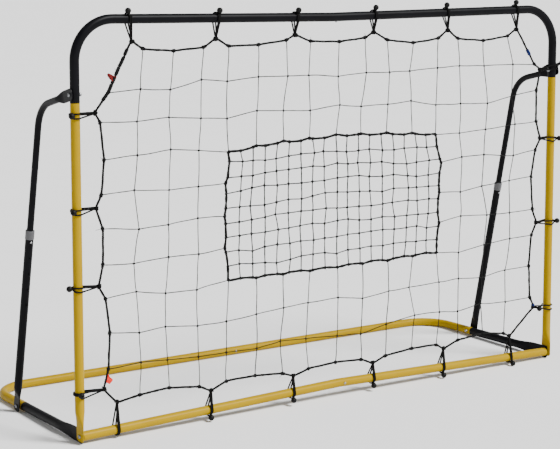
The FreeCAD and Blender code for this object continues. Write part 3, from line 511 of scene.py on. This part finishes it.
# The target's corners by fine column and row. Then its sides where coarse rows reach them, and
# two fine rows near the upper left, where the side is not straight.
TARGET_CORNERS = {(0, 0): (-402, 794), (0, 9): (-404, 400), (18, 0): (397, 800),
                  (18, 9): (407, 402)}
TARGET_SIDES = {(0, 1): (-397, 765), (0, 2): (-403, 716), (0, 2.25): (-412, 700),
                (0, 4.5): (-416, 599), (0, 6.75): (-415, 501),
                (18, 2.25): (422, 703), (18, 4.5): (415, 604), (18, 6.75): (416, 503)}
ROPE_R, OUTER_TWINE_R, FINE_TWINE_R = 3.6, 1.45, 1.8


def mesh_knot(i, j):
    """The knot of mesh column i and row j. Those round the target lie on its rope."""
    if abs(i) < TARGET_SIDE and TARGET_FIRST < j < TARGET_LAST:
        return None
    if abs(i) <= TARGET_SIDE and TARGET_FIRST <= j <= TARGET_LAST:
        return ("target", FINE_COLUMNS / 2 + FINE_PER_MESH * i,
                (j - TARGET_FIRST) * FINE_PER_MESH)
    return ("mesh", i, j)


def on_rope(a, b):
    """Whether the line between two knots lies along the target's rope."""
    return a[0] == b[0] == "target" and (a[1] == b[1] or a[2] == b[2])


mesh_lines = []
for i in COLUMNS:
    mesh_lines.append([("top", i)] + [mesh_knot(i, j) for j in ROWS] + [("bottom", i)])
for j in ROWS:
    mesh_lines.append([("left", j)] + [mesh_knot(i, j) for i in COLUMNS] + [("right", j)])

runs = []   # stretches of mesh line that hang free of the target
for whole in mesh_lines:
    stretch = [whole[0]]
    for before, knot in zip(whole, whole[1:]):
        if before is None or knot is None or on_rope(before, knot):
            if len(stretch) > 1:
                runs.append(stretch)
            stretch = [knot] if knot is not None else []
        else:
            stretch.append(knot)
    if len(stretch) > 1:
        runs.append(stretch)


def target_edge():
    """The knots along the target's rope, clockwise from its upper left corner."""
    across, down = (
        sorted({*range(fine + 1), *(FINE_PER_MESH * k for k in range(coarse))})
        for fine, coarse in ((FINE_COLUMNS, 2 * TARGET_SIDE),
                             (FINE_ROWS, TARGET_LAST - TARGET_FIRST)))
    edge = [(a, 0) for a in across] + [(FINE_COLUMNS, b) for b in down[1:]]
    edge += [(a, FINE_ROWS) for a in across[-2::-1]] + [(0, b) for b in down[-2:0:-1]]
    return [("target", float(a), float(b)) for a, b in edge]


TARGET_EDGE = target_edge()
fine_lines = [[("target", float(a), 0.0)] + [("fine", a, b) for b in range(1, FINE_ROWS)]
              + [("target", float(a), float(FINE_ROWS))] for a in range(1, FINE_COLUMNS)]
fine_lines += [[("target", 0.0, float(b))] + [("fine", a, b) for a in range(1, FINE_COLUMNS)]
               + [("target", float(FINE_COLUMNS), float(b))] for b in range(1, FINE_ROWS)]


def settle(held, links):
    """Places a tight net's free knots, each where the pull of its links balances."""
    knots = {k for a, b, _ in links for k in (a, b)}
    free = sorted((k for k in knots if k not in held), key=str)
    index = {k: n for n, k in enumerate(free)}
    pull = np.zeros((len(free), len(free)))
    fixed = np.zeros((len(free), 2))
    for a, b, tension in links:
        for here, there in ((a, b), (b, a)):
            if here in index:
                pull[index[here], index[here]] += tension
                if there in index:
                    pull[index[here], index[there]] -= tension
                else:
                    fixed[index[here]] += tension * np.array(held[there], float)
    places = {k: np.array(v, float) for k, v in held.items()}
    places.update(zip(free, np.linalg.solve(pull, fixed)))
    return places


held = {}
for i, top, bottom in zip(COLUMNS, TOP_ENDS, BOTTOM_ENDS):
    held[("top", i)], held[("bottom", i)] = top, bottom
for j, left, right in zip(ROWS, LEFT_ENDS, RIGHT_ENDS):
    held[("left", j)], held[("right", j)] = left, right
for (a, b), place in {**TARGET_CORNERS, **TARGET_SIDES}.items():
    held[("target", float(a), float(b))] = place
# Where the mesh columns reach it, the target's rope bows up along the top by TARGET_RISE and
# down along the bottom by TARGET_FALL.
TARGET_RISE, TARGET_FALL = 24, 3
UNEVEN_KNOTS = 1.6
ROPE_PULL = 4.0   # against about 1 in a mesh line
for k in range(1, 2 * TARGET_SIDE):
    share = k / (2 * TARGET_SIDE)
    bow = 4 * share * (1 - share)
    for row, lift in ((0, TARGET_RISE), (FINE_ROWS, -TARGET_FALL)):
        first, last = (np.array(TARGET_CORNERS[a, row]) for a in (0, FINE_COLUMNS))
        x, z = first + share * (last - first) + rng.normal(0, UNEVEN_KNOTS, 2)
        held[("target", FINE_PER_MESH * k, float(row))] = (x, z + lift * bow)

links = []
for stretch in runs:
    links += [(a, b, rng.lognormal(0, 0.22)) for a, b in zip(stretch, stretch[1:])]
for stretch in fine_lines:
    links += [(a, b, rng.lognormal(-0.3, 0.2)) for a, b in zip(stretch, stretch[1:])]
for a, b in zip(TARGET_EDGE, TARGET_EDGE[1:] + TARGET_EDGE[:1]):
    gap = math.hypot(a[1] - b[1], a[2] - b[2])
    links.append((a, b, ROPE_PULL / gap))
flat_places = settle(held, links)
KNOTS = {k: np.array([p[0], rng.normal(0, 0.7 if k[0] != "fine" else 0.4), p[1]])
         for k, p in flat_places.items()}
for k in KNOTS:
    if k[0] in (*BORDER_SIDES, "target"):
        KNOTS[k][1] = 0


def ordered_border():
    """The border's path, clockwise from the upper left gather."""
    def by_x(points):
        return sorted(points)

    def by_z(points):
        return sorted(points, key=lambda p: p[1])

    ring = by_x(TOP_GATHERS + TOP_ENDS) + by_z(RIGHT_GATHERS + RIGHT_ENDS)[::-1]
    ring += [LOWER_RIGHT] + by_x(BOTTOM_GATHERS + BOTTOM_ENDS)[::-1]
    ring += by_z(LEFT_GATHERS + LEFT_ENDS)
    return np.array([(x, 0, z) for x, z in ring], float)


def wander(path, amount, wavelength, seed):
    """Small lateral waves along a closed path."""
    run = np.arange(len(path)) * np.linalg.norm(path[1] - path[0])
    path = path.copy()
    for axis, (shift, stretch) in enumerate(((171, 1), (413, 0.8), (917, 1))):
        path[:, axis] += amount * uneven_field(run + seed * shift, wavelength * stretch)
    return path


def rope_line(points, passes, amount, seed):
    """A closed rope's path through points, its corners rounded and not quite smooth."""
    path = eased(evenly(points, 2.5, closed=True), passes, closed=True)
    return Line(wander(path, amount, 60, seed), closed=True)


BORDER = rope_line(ordered_border(), 9, 0.5, 1)
TARGET = rope_line([KNOTS[k] for k in TARGET_EDGE], 7, 0.4, 2)


def snapped(line, point):
    """The place on a line that is nearest to point."""
    return line.around(np.array([line.nearest(point)]), 0, 0)[0]


for k in KNOTS:
    if k[0] in BORDER_SIDES:
        KNOTS[k] = snapped(BORDER, KNOTS[k])
    elif k[0] == "target":
        KNOTS[k] = snapped(TARGET, KNOTS[k])


def twine(strands, stretch, radius, slack):
    """A mesh line through its knots, not quite straight between them."""
    places = [KNOTS[k] for k in stretch]
    path = []
    for a, b in zip(places, places[1:]):
        t = np.linspace(0, 1, 9)[:, None]
        bow = np.sin(math.pi * t) * rng.normal(0, slack, 3)
        ripple = np.sin(2 * math.pi * t) * rng.normal(0, slack * 0.5, 3)
        path.append((a + (b - a) * t + bow + ripple)[:-1])
    path = np.vstack(path + [places[-1][None]])
    strands.add(path, radius * (1 + 0.08 * rng.normal(0, 1, len(path)).clip(-1, 1)), 6)


outer = Strands()
for stretch in runs:
    twine(outer, stretch, OUTER_TWINE_R, 0.8)
for k, place in KNOTS.items():
    if k[0] == "mesh":
        outer.knot(place, 3.2, 1.4)
fine = Strands()
for stretch in fine_lines:
    twine(fine, stretch, FINE_TWINE_R, 0.3)
for k, place in KNOTS.items():
    if k[0] == "fine":
        fine.knot(place, 3.6, 1.6)


def loose_end(strands, start, away, length, radius):
    """A cut end of cord that sticks out and curls."""
    t = np.linspace(0, 1, 9)[:, None]
    curl = rng.normal(0, 0.35, 3)
    way = unit(away + rng.normal(0, 0.35, 3))
    path = start + length * (t * way + t * t * curl)
    strands.add(path, radius * np.linspace(1, 0.7, 9), 5)


HITCH_R, LASHING_R, WHIPPING_R = 0.75, 0.6, 0.6

# The border: a laid rope, with twine hitched round it at every mesh line.
border = Strands()
border.twisted(BORDER, 0, BORDER.length, ROPE_R, 17, closed=True)
centre_of_net = np.array([0, 0, NET_MIDDLE])
for k, place in KNOTS.items():
    if k[0] in BORDER_SIDES:
        run = BORDER.nearest(place)
        border.wrapped(BORDER, run, rng.uniform(8, 15), ROPE_R + 0.6, HITCH_R, 5, 0.8)
        border.wrapped(BORDER, run + rng.uniform(-3, 3), rng.uniform(4, 7), ROPE_R + 1.6,
                       HITCH_R, 5, 0.8)
        if rng.random() < 0.4:
            loose_end(border, place, unit(place - centre_of_net) * [1, 0, 1]
                      + [0, rng.normal(0, 0.6), 0], rng.uniform(6, 13), HITCH_R)
# Its two ends are doubled and lashed together along the upper left corner.
LASHED = (-816, 0, 960), (-738, 0, 1111)
corner_from, corner_to = (BORDER.nearest(place) for place in LASHED)
if corner_to < corner_from:
    corner_to += BORDER.length
corner = np.linspace(corner_from, corner_to, 80)
doubled = Line(BORDER.around(corner, 0.6, 3.4))
border.twisted(doubled, 0, doubled.length, ROPE_R * 0.62, 16)
seized = Line(BORDER.around(corner, 0.6, 1.4))
wound = 0.03
while wound < 0.95:
    length = rng.uniform(14, 30)
    share = length / seized.length
    border.wrapped(seized, (wound + share / 2) * seized.length, length,
                   ROPE_R + 1.3, LASHING_R, 5, 1.2)
    wound += share + rng.uniform(0.0, 0.05)
for _ in range(6):
    start = BORDER.around(np.array([rng.uniform(corner_from, corner_to)]), 0, 0)[0]
    loose_end(border, start, np.array([-0.8, rng.normal(0, 0.5), 0.5]), rng.uniform(6, 11),
              LASHING_R)

rope = Strands()
rope.twisted(TARGET, 0, TARGET.length, ROPE_R * 1.12, 15, closed=True, uneven=0.16)
for k, place in KNOTS.items():
    if k[0] == "target":
        run = TARGET.nearest(place)
        big = k[1] % 1 or k[2] % 1 or (k[1], k[2]) in TARGET_CORNERS
        rope.wrapped(TARGET, run, rng.uniform(6, 9) if big else rng.uniform(3.5, 6),
                     ROPE_R + 1.0, 0.8, 5, 0.9)
        if big:
            rope.knot(place + [0, -ROPE_R - 1, 0], 2.6, 0.8)
        if rng.random() < 0.3:
            loose_end(rope, place, unit(place - centre_of_net)
                      + [0, rng.normal(0, 0.6), 0], rng.uniform(5, 11), 0.7)


# ---------------------------------------------------------------- ties

TUBE_R = 14
ELASTIC_R = 2.5
TIE_GAP = 0.25       # between the elastic and the tube
BALL_DEPTH = 7       # how far short of the ball's middle its strands start
PAIR_HALF = 2.3      # from the middle of a close pair to each strand
PARTED_HALF = (4.6, 6.0)
TAUT_LIFT, SLACK_LIFT = (2, 4), (-12, -9)
X, Z = np.eye(3)[[0, 2]]
POST_X = float((middle("post_right")[0] - middle("post_left")[0]) / 2 * 1000)
RAIL_END = float((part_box("bottom_rail_right")[1][0]) * 1000)
TOP_RAIL = {"seam": -22, "end": POST_X, "level": 1200, "bow": -11}
BOTTOM_RAIL = {"seam": 8, "end": RAIL_END, "level": 0, "bow": 22}


def bowed(x, seam, end, level, bow):
    """Height of a rail that the net bows into a shallow V."""
    far = -end if x < seam else end
    return level + bow * (far - x) / (far - seam)


def ball_centres(node, axis):
    """Where each ball of a node is, in order along axis."""
    co = np.array([v.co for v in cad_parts[node].data.vertices])
    co = (co - PIVOT) * 1000
    co = co[np.argsort(co[:, axis])]
    cuts = np.nonzero(np.diff(co[:, axis]) > 60)[0] + 1
    return [(c.min(0) + c.max(0)) / 2 for c in np.split(co, cuts)]


def half_loop(ball, gather, way, lift):
    """One side of a tie: from the ball round the tube and on to the gathered border.

    ball and gather are (towards the net, across, along) from the tube's centre. way is +1
    or -1 for the way round, and lift is where along the tube the strand crosses it.
    """
    clear = TUBE_R + ELASTIC_R + TIE_GAP
    reach = max(math.hypot(ball[0], ball[1]) - BALL_DEPTH, clear + 0.02)
    heading = math.atan2(ball[1], ball[0])
    start = np.array([reach * math.cos(heading), reach * math.sin(heading)])
    end = np.array([gather[0], gather[1]])
    leave = heading + way * math.acos(clear / reach)
    meet = math.atan2(end[1], end[0]) - way * math.acos(clear / np.linalg.norm(end))
    sweep = (way * (meet - leave)) % (2 * math.pi)
    turn = leave + way * np.linspace(0, sweep, max(3, int(sweep / 0.2)))
    arc = clear * np.stack([np.cos(turn), np.sin(turn)], 1)
    first = start + (arc[0] - start) * np.linspace(0, 1, 4)[:-1, None]
    last = arc[-1] + (end - arc[-1]) * np.linspace(0, 1, 10)[1:, None]
    flat = np.vstack([first, arc, last])
    along = np.concatenate([
        ball[2] + (lift - ball[2]) * np.linspace(0, 1, 4)[:-1],
        np.full(len(arc), float(lift)),
        lift + (gather[2] - lift) * np.linspace(0, 1, 10)[1:]])
    return np.column_stack([flat, along])


def tie(strands, tube, axis, towards, gather, ball, upright):
    """An elastic tie: a doubled loop from its ball, round the tube, hitched to the border.

    Round a post the two strands in front part, the lower one slack, and round a rail it is
    the two behind that part. The other two lie side by side.
    """
    across = np.cross(axis, towards)
    turn = np.stack([towards, across, axis])
    ball_at, gather_at = turn @ (ball - tube), turn @ (gather - tube)
    middle_lift = 0.45 * gather_at[2] + 0.55 * ball_at[2]
    front = 1 if across[1] > 0 else -1
    for way in (1, -1):
        for side in (-1, 1):
            parted = (way == front) == upright
            if parted and upright:
                lift = middle_lift + rng.uniform(*(TAUT_LIFT if side > 0 else SLACK_LIFT))
            elif parted:
                lift = middle_lift + side * rng.uniform(*PARTED_HALF)
            else:
                lift = middle_lift + side * PAIR_HALF
            ends = gather_at + [0, way * 1.2, side * 2.0]
            inside = ball_at + [0, 0, side * 0.6]
            # A ball already past the tube has nothing to go round on its own side.
            if ball_at[0] > TUBE_R and way * ball_at[1] >= 0:
                t = np.linspace(0, 1, 8)[:, None]
                path = inside + (ends - inside) * t
            else:
                path = half_loop(inside, ends, way, lift)
            path = eased(evenly(path @ turn + tube, 1.5), 3)
            width = 0.95 if parted else 1.06
            strands.add(path, ELASTIC_R * width * rng.uniform(0.96, 1.04), 9)
    run = BORDER.nearest(gather)
    strands.wrapped(BORDER, run, rng.uniform(10, 12), ROPE_R + ELASTIC_R * 0.6,
                    ELASTIC_R * 0.9, 8, 1.0)
    out = unit(ball_at * [1, 1, 0]) @ turn
    strands.knot(ball + out * 6.6, 2.2, 1.3, 7)


SIDES = {
    "top": (TOP_GATHERS, 0, -Z, lambda c: (c[0], 0, bowed(c[0], **TOP_RAIL))),
    "bottom": (BOTTOM_GATHERS, 0, Z, lambda c: (c[0], 0, bowed(c[0], **BOTTOM_RAIL))),
    "left": (LEFT_GATHERS[::-1], 2, X, lambda c: (-POST_X, 0, c[2])),
    "right": (RIGHT_GATHERS[::-1], 2, -X, lambda c: (POST_X, 0, c[2])),
}
for side, (gathers, axis, towards, tube_centre) in SIDES.items():
    elastics = Strands()
    for ball, (x, z) in zip(ball_centres(side + "_tie_balls", axis), gathers):
        tube = np.array(tube_centre(ball), float)
        tie(elastics, tube, np.eye(3)[axis], towards, np.array([x, 0.0, z]), ball, axis == 2)
    elastics.piece(side + "_elastics", ELASTIC, "elastic_cord", side + "_ties")

outer.piece("outer_netting", NET_TWINE, "net_twine", "outer_net")
fine.piece("target_netting", NET_TWINE, "net_twine", "target_net")
border.piece("border_cord", ROPE, "net_twine", "border_rope")
rope.piece("target_cord", ROPE, "net_twine", "target_rope")

# Blue thread whipped round the right side of the border.
whippings = Strands()
for place, length in (((796, 0, 1054), 22), ((841, 0, 174), 9)):
    whippings.wrapped(BORDER, BORDER.nearest(place), length, ROPE_R + 0.75, WHIPPING_R, 6)
    whippings.wrapped(BORDER, BORDER.nearest(place), length * 0.9, ROPE_R + 1.5, WHIPPING_R,
                      6)
whippings.piece("whippings", THREAD, "net_twine")


# ---------------------------------------------------------------- cloth tags

CLOTH_THICK = 0.0005   # metres
TAG_FORWARD = 3.4      # from the border's middle to the cloth


def tag(name, root, outline, material, seed):
    """A scrap of cloth knotted to the border, from rows of (left, right) edge points."""
    rows, columns = 14, 10
    left, right = (np.array([row[k] for row in outline], float) for k in (0, 1))
    marks = np.linspace(0, len(outline) - 1, rows)
    verts, faces, uvs = [], [], []
    for r, m in enumerate(marks):
        edges = [np.array([np.interp(m, range(len(outline)), e[:, c]) for c in (0, 1)])
                 for e in (left, right)]
        for c in range(columns):
            p = edges[0] + (edges[1] - edges[0]) * c / (columns - 1)
            wave = 1.3 * math.sin(c * 0.8 + r * 0.35 + seed) + 0.8 * math.sin(r * 0.9 + seed * 2)
            verts.append(at((root[0] + p[0], root[1] - TAG_FORWARD + wave, root[2] + p[1])))
            uvs.append((p[0] * 0.001, p[1] * 0.001))
    for r in range(rows - 1):
        for c in range(columns - 1):
            a = r * columns + c
            faces.append((a, a + 1, a + columns + 1, a + columns))
    mesh = smooth_mesh(name, [tuple(v) for v in verts], faces,
                       [uvs[corner] for face in faces for corner in face], material)
    made = placed(name, mesh, "red_cloth", "net_flags")
    thick = made.modifiers.new("thickness", "SOLIDIFY")
    thick.thickness = CLOTH_THICK
    soften = made.modifiers.new("soften", "SUBSURF")
    soften.levels = soften.render_levels = 1


tag("tag_upper", (-780, 0, 1026), [((-25, 17), (-22, 20)), ((-24, 11), (-12, 16)),
                                   ((-18, 3), (-4, 11)), ((-10, -4), (2, 8)),
                                   ((-4, -9), (4, 7))], RED_DULL, 0.4)
tag("tag_lower", (-819, 0, 161), [((3, 11), (5, 12)), ((2, 5), (9, 2)), ((0, -2), (19, -6)),
                                  ((-2, -8), (15, -13)), ((-4, -12), (9, -20))],
    RED_BRIGHT, 1.7)


# ---------------------------------------------------------------- floor and light

def stage_sheet(name, size, height, material):
    """A level square of the set, size and height in metres."""
    mesh = bpy.data.meshes.new(name)
    half = size / 2
    mesh.from_pydata([(-half, -half, height), (half, -half, height), (half, half, height),
                      (-half, half, height)], [], [(0, 1, 2, 3)])
    mesh.materials.append(material)
    made = bpy.data.objects.new(name, mesh)
    bpy.context.scene.collection.objects.link(made)


paper = Shader("studio_floor", 0.9, Specular_IOR_Level=0.1)
paper.colour(paper.mix(paper.noise(2, 2), (0.86, 0.86, 0.86, 1), (0.9, 0.9, 0.9, 1)))
stage_sheet("floor", 400, -0.0005, paper.material)

# The room is brightest near the horizon, so the floor runs into it without a dark edge.
world = bpy.data.worlds.new("studio")
world.use_nodes = True
room = world.node_tree
heading = room.nodes.new("ShaderNodeSeparateXYZ")
fade = room.nodes.new("ShaderNodeMapRange")
fade.inputs["From Min"].default_value, fade.inputs["From Max"].default_value = 0.0, 0.45
fade.inputs["To Min"].default_value, fade.inputs["To Max"].default_value = 1.5, 0.3
room.links.new(room.nodes.new("ShaderNodeTexCoord").outputs["Generated"], heading.inputs[0])
room.links.new(heading.outputs["Z"], fade.inputs["Value"])
room.nodes["Background"].inputs["Color"].default_value = (1, 1, 1, 1)
room.links.new(fade.outputs[0], room.nodes["Background"].inputs["Strength"])
bpy.context.scene.world = world

SUN_FROM = (0.51, -0.765, 1.0)

sun = bpy.data.lights.new("key", "SUN")
sun.energy = 7.0
sun.angle = 0.35
key = bpy.data.objects.new("key", sun)
key.rotation_euler = Vector(SUN_FROM).to_track_quat("Z", "Y").to_euler()
bpy.context.scene.collection.objects.link(key)
